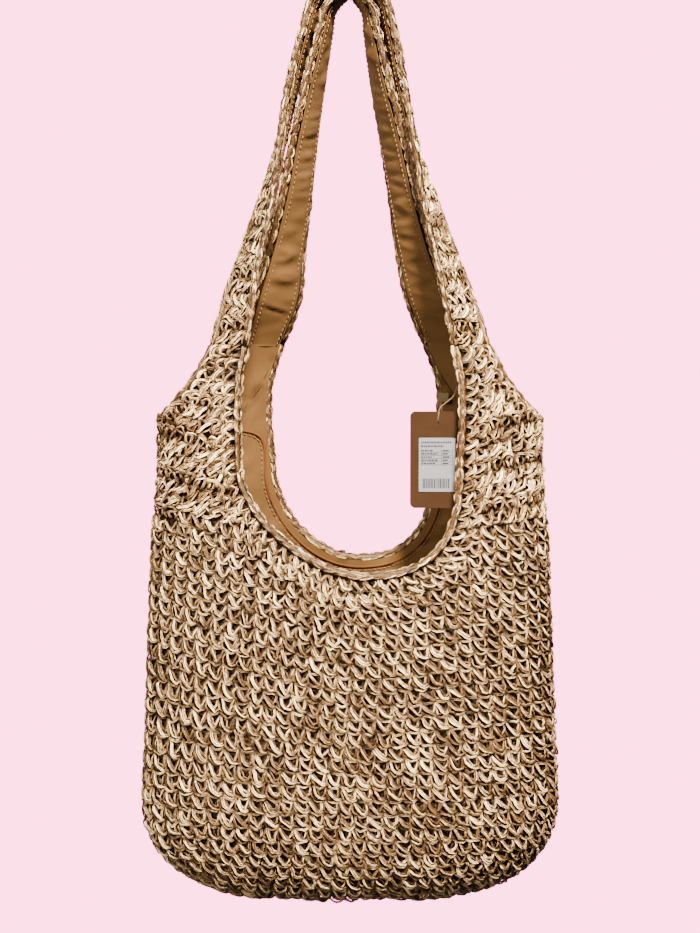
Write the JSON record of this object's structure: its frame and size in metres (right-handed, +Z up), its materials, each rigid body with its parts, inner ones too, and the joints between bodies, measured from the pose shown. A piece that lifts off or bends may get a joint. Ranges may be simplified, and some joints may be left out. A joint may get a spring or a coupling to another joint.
{
  "type": "hobo bag",
  "caption": "Deep crocheted straw pouch with a scooped neckline, wide shoulders that narrow into a pair of nested lined handles, a cloth lining with a hem, and a blank hang tag on a string.",
  "frame": {"origin": "underside of the inner handle's arch, where a hook or a shoulder carries the bag", "axes": "+Z up; +X to the right of someone facing the front panel; -Y out of the front panel"},
  "size_m": [0.3868, 0.117, 0.8574],
  "materials": {
    "straw": "crocheted paper straw, cream to pinkish tan",
    "straw_edging": "crocheted straw braid",
    "lining_cloth": "satin lining, tan",
    "hem_cloth": "topstitched lining hem",
    "cotton_tape": "olive cotton tape",
    "hemp_string": "twisted brown string",
    "kraft_card": "matt kraft card",
    "white_label": null
  },
  "bodies": {
    "pouch": {"crochet_base": "straw", "crochet_front": "straw", "crochet_back": "straw", "front_neck_edging": "straw_edging", "back_neck_edging": "straw_edging", "left_armhole_edging": "straw_edging", "right_armhole_edging": "straw_edging", "lining_pouch": "lining_cloth", "lining_hem": "hem_cloth", "tape_loop": "cotton_tape"},
    "handle_front": {"front_handle_crochet": "straw", "front_handle_near_edging": "straw_edging", "front_handle_far_edging": "straw_edging", "front_handle_lining": "lining_cloth"},
    "handle_back": {"back_handle_crochet": "straw", "back_handle_near_edging": "straw_edging", "back_handle_far_edging": "straw_edging", "back_handle_lining": "lining_cloth"},
    "tag": {"tag_string": "hemp_string", "hang_tag": "kraft_card", "tag_sticker": "white_label"}
  },
  "joints": [
    {"name": "front_handle_fold", "type": "hinge", "parent": "pouch", "child": "handle_front", "pos_m": [0, -0.0415, -0.315], "axis": [1, 0, 0], "range_deg": [0, 150]},
    {"name": "back_handle_fold", "type": "hinge", "parent": "pouch", "child": "handle_back", "pos_m": [0, 0.0475, -0.315], "axis": [-1, 0, 0], "range_deg": [0, 150]},
    {"name": "tag_swing", "type": "hinge", "parent": "pouch", "child": "tag", "pos_m": [0.0925, -0.024, -0.329], "axis": [1, 0, 0], "range_deg": [-3, 20]}
  ]
}
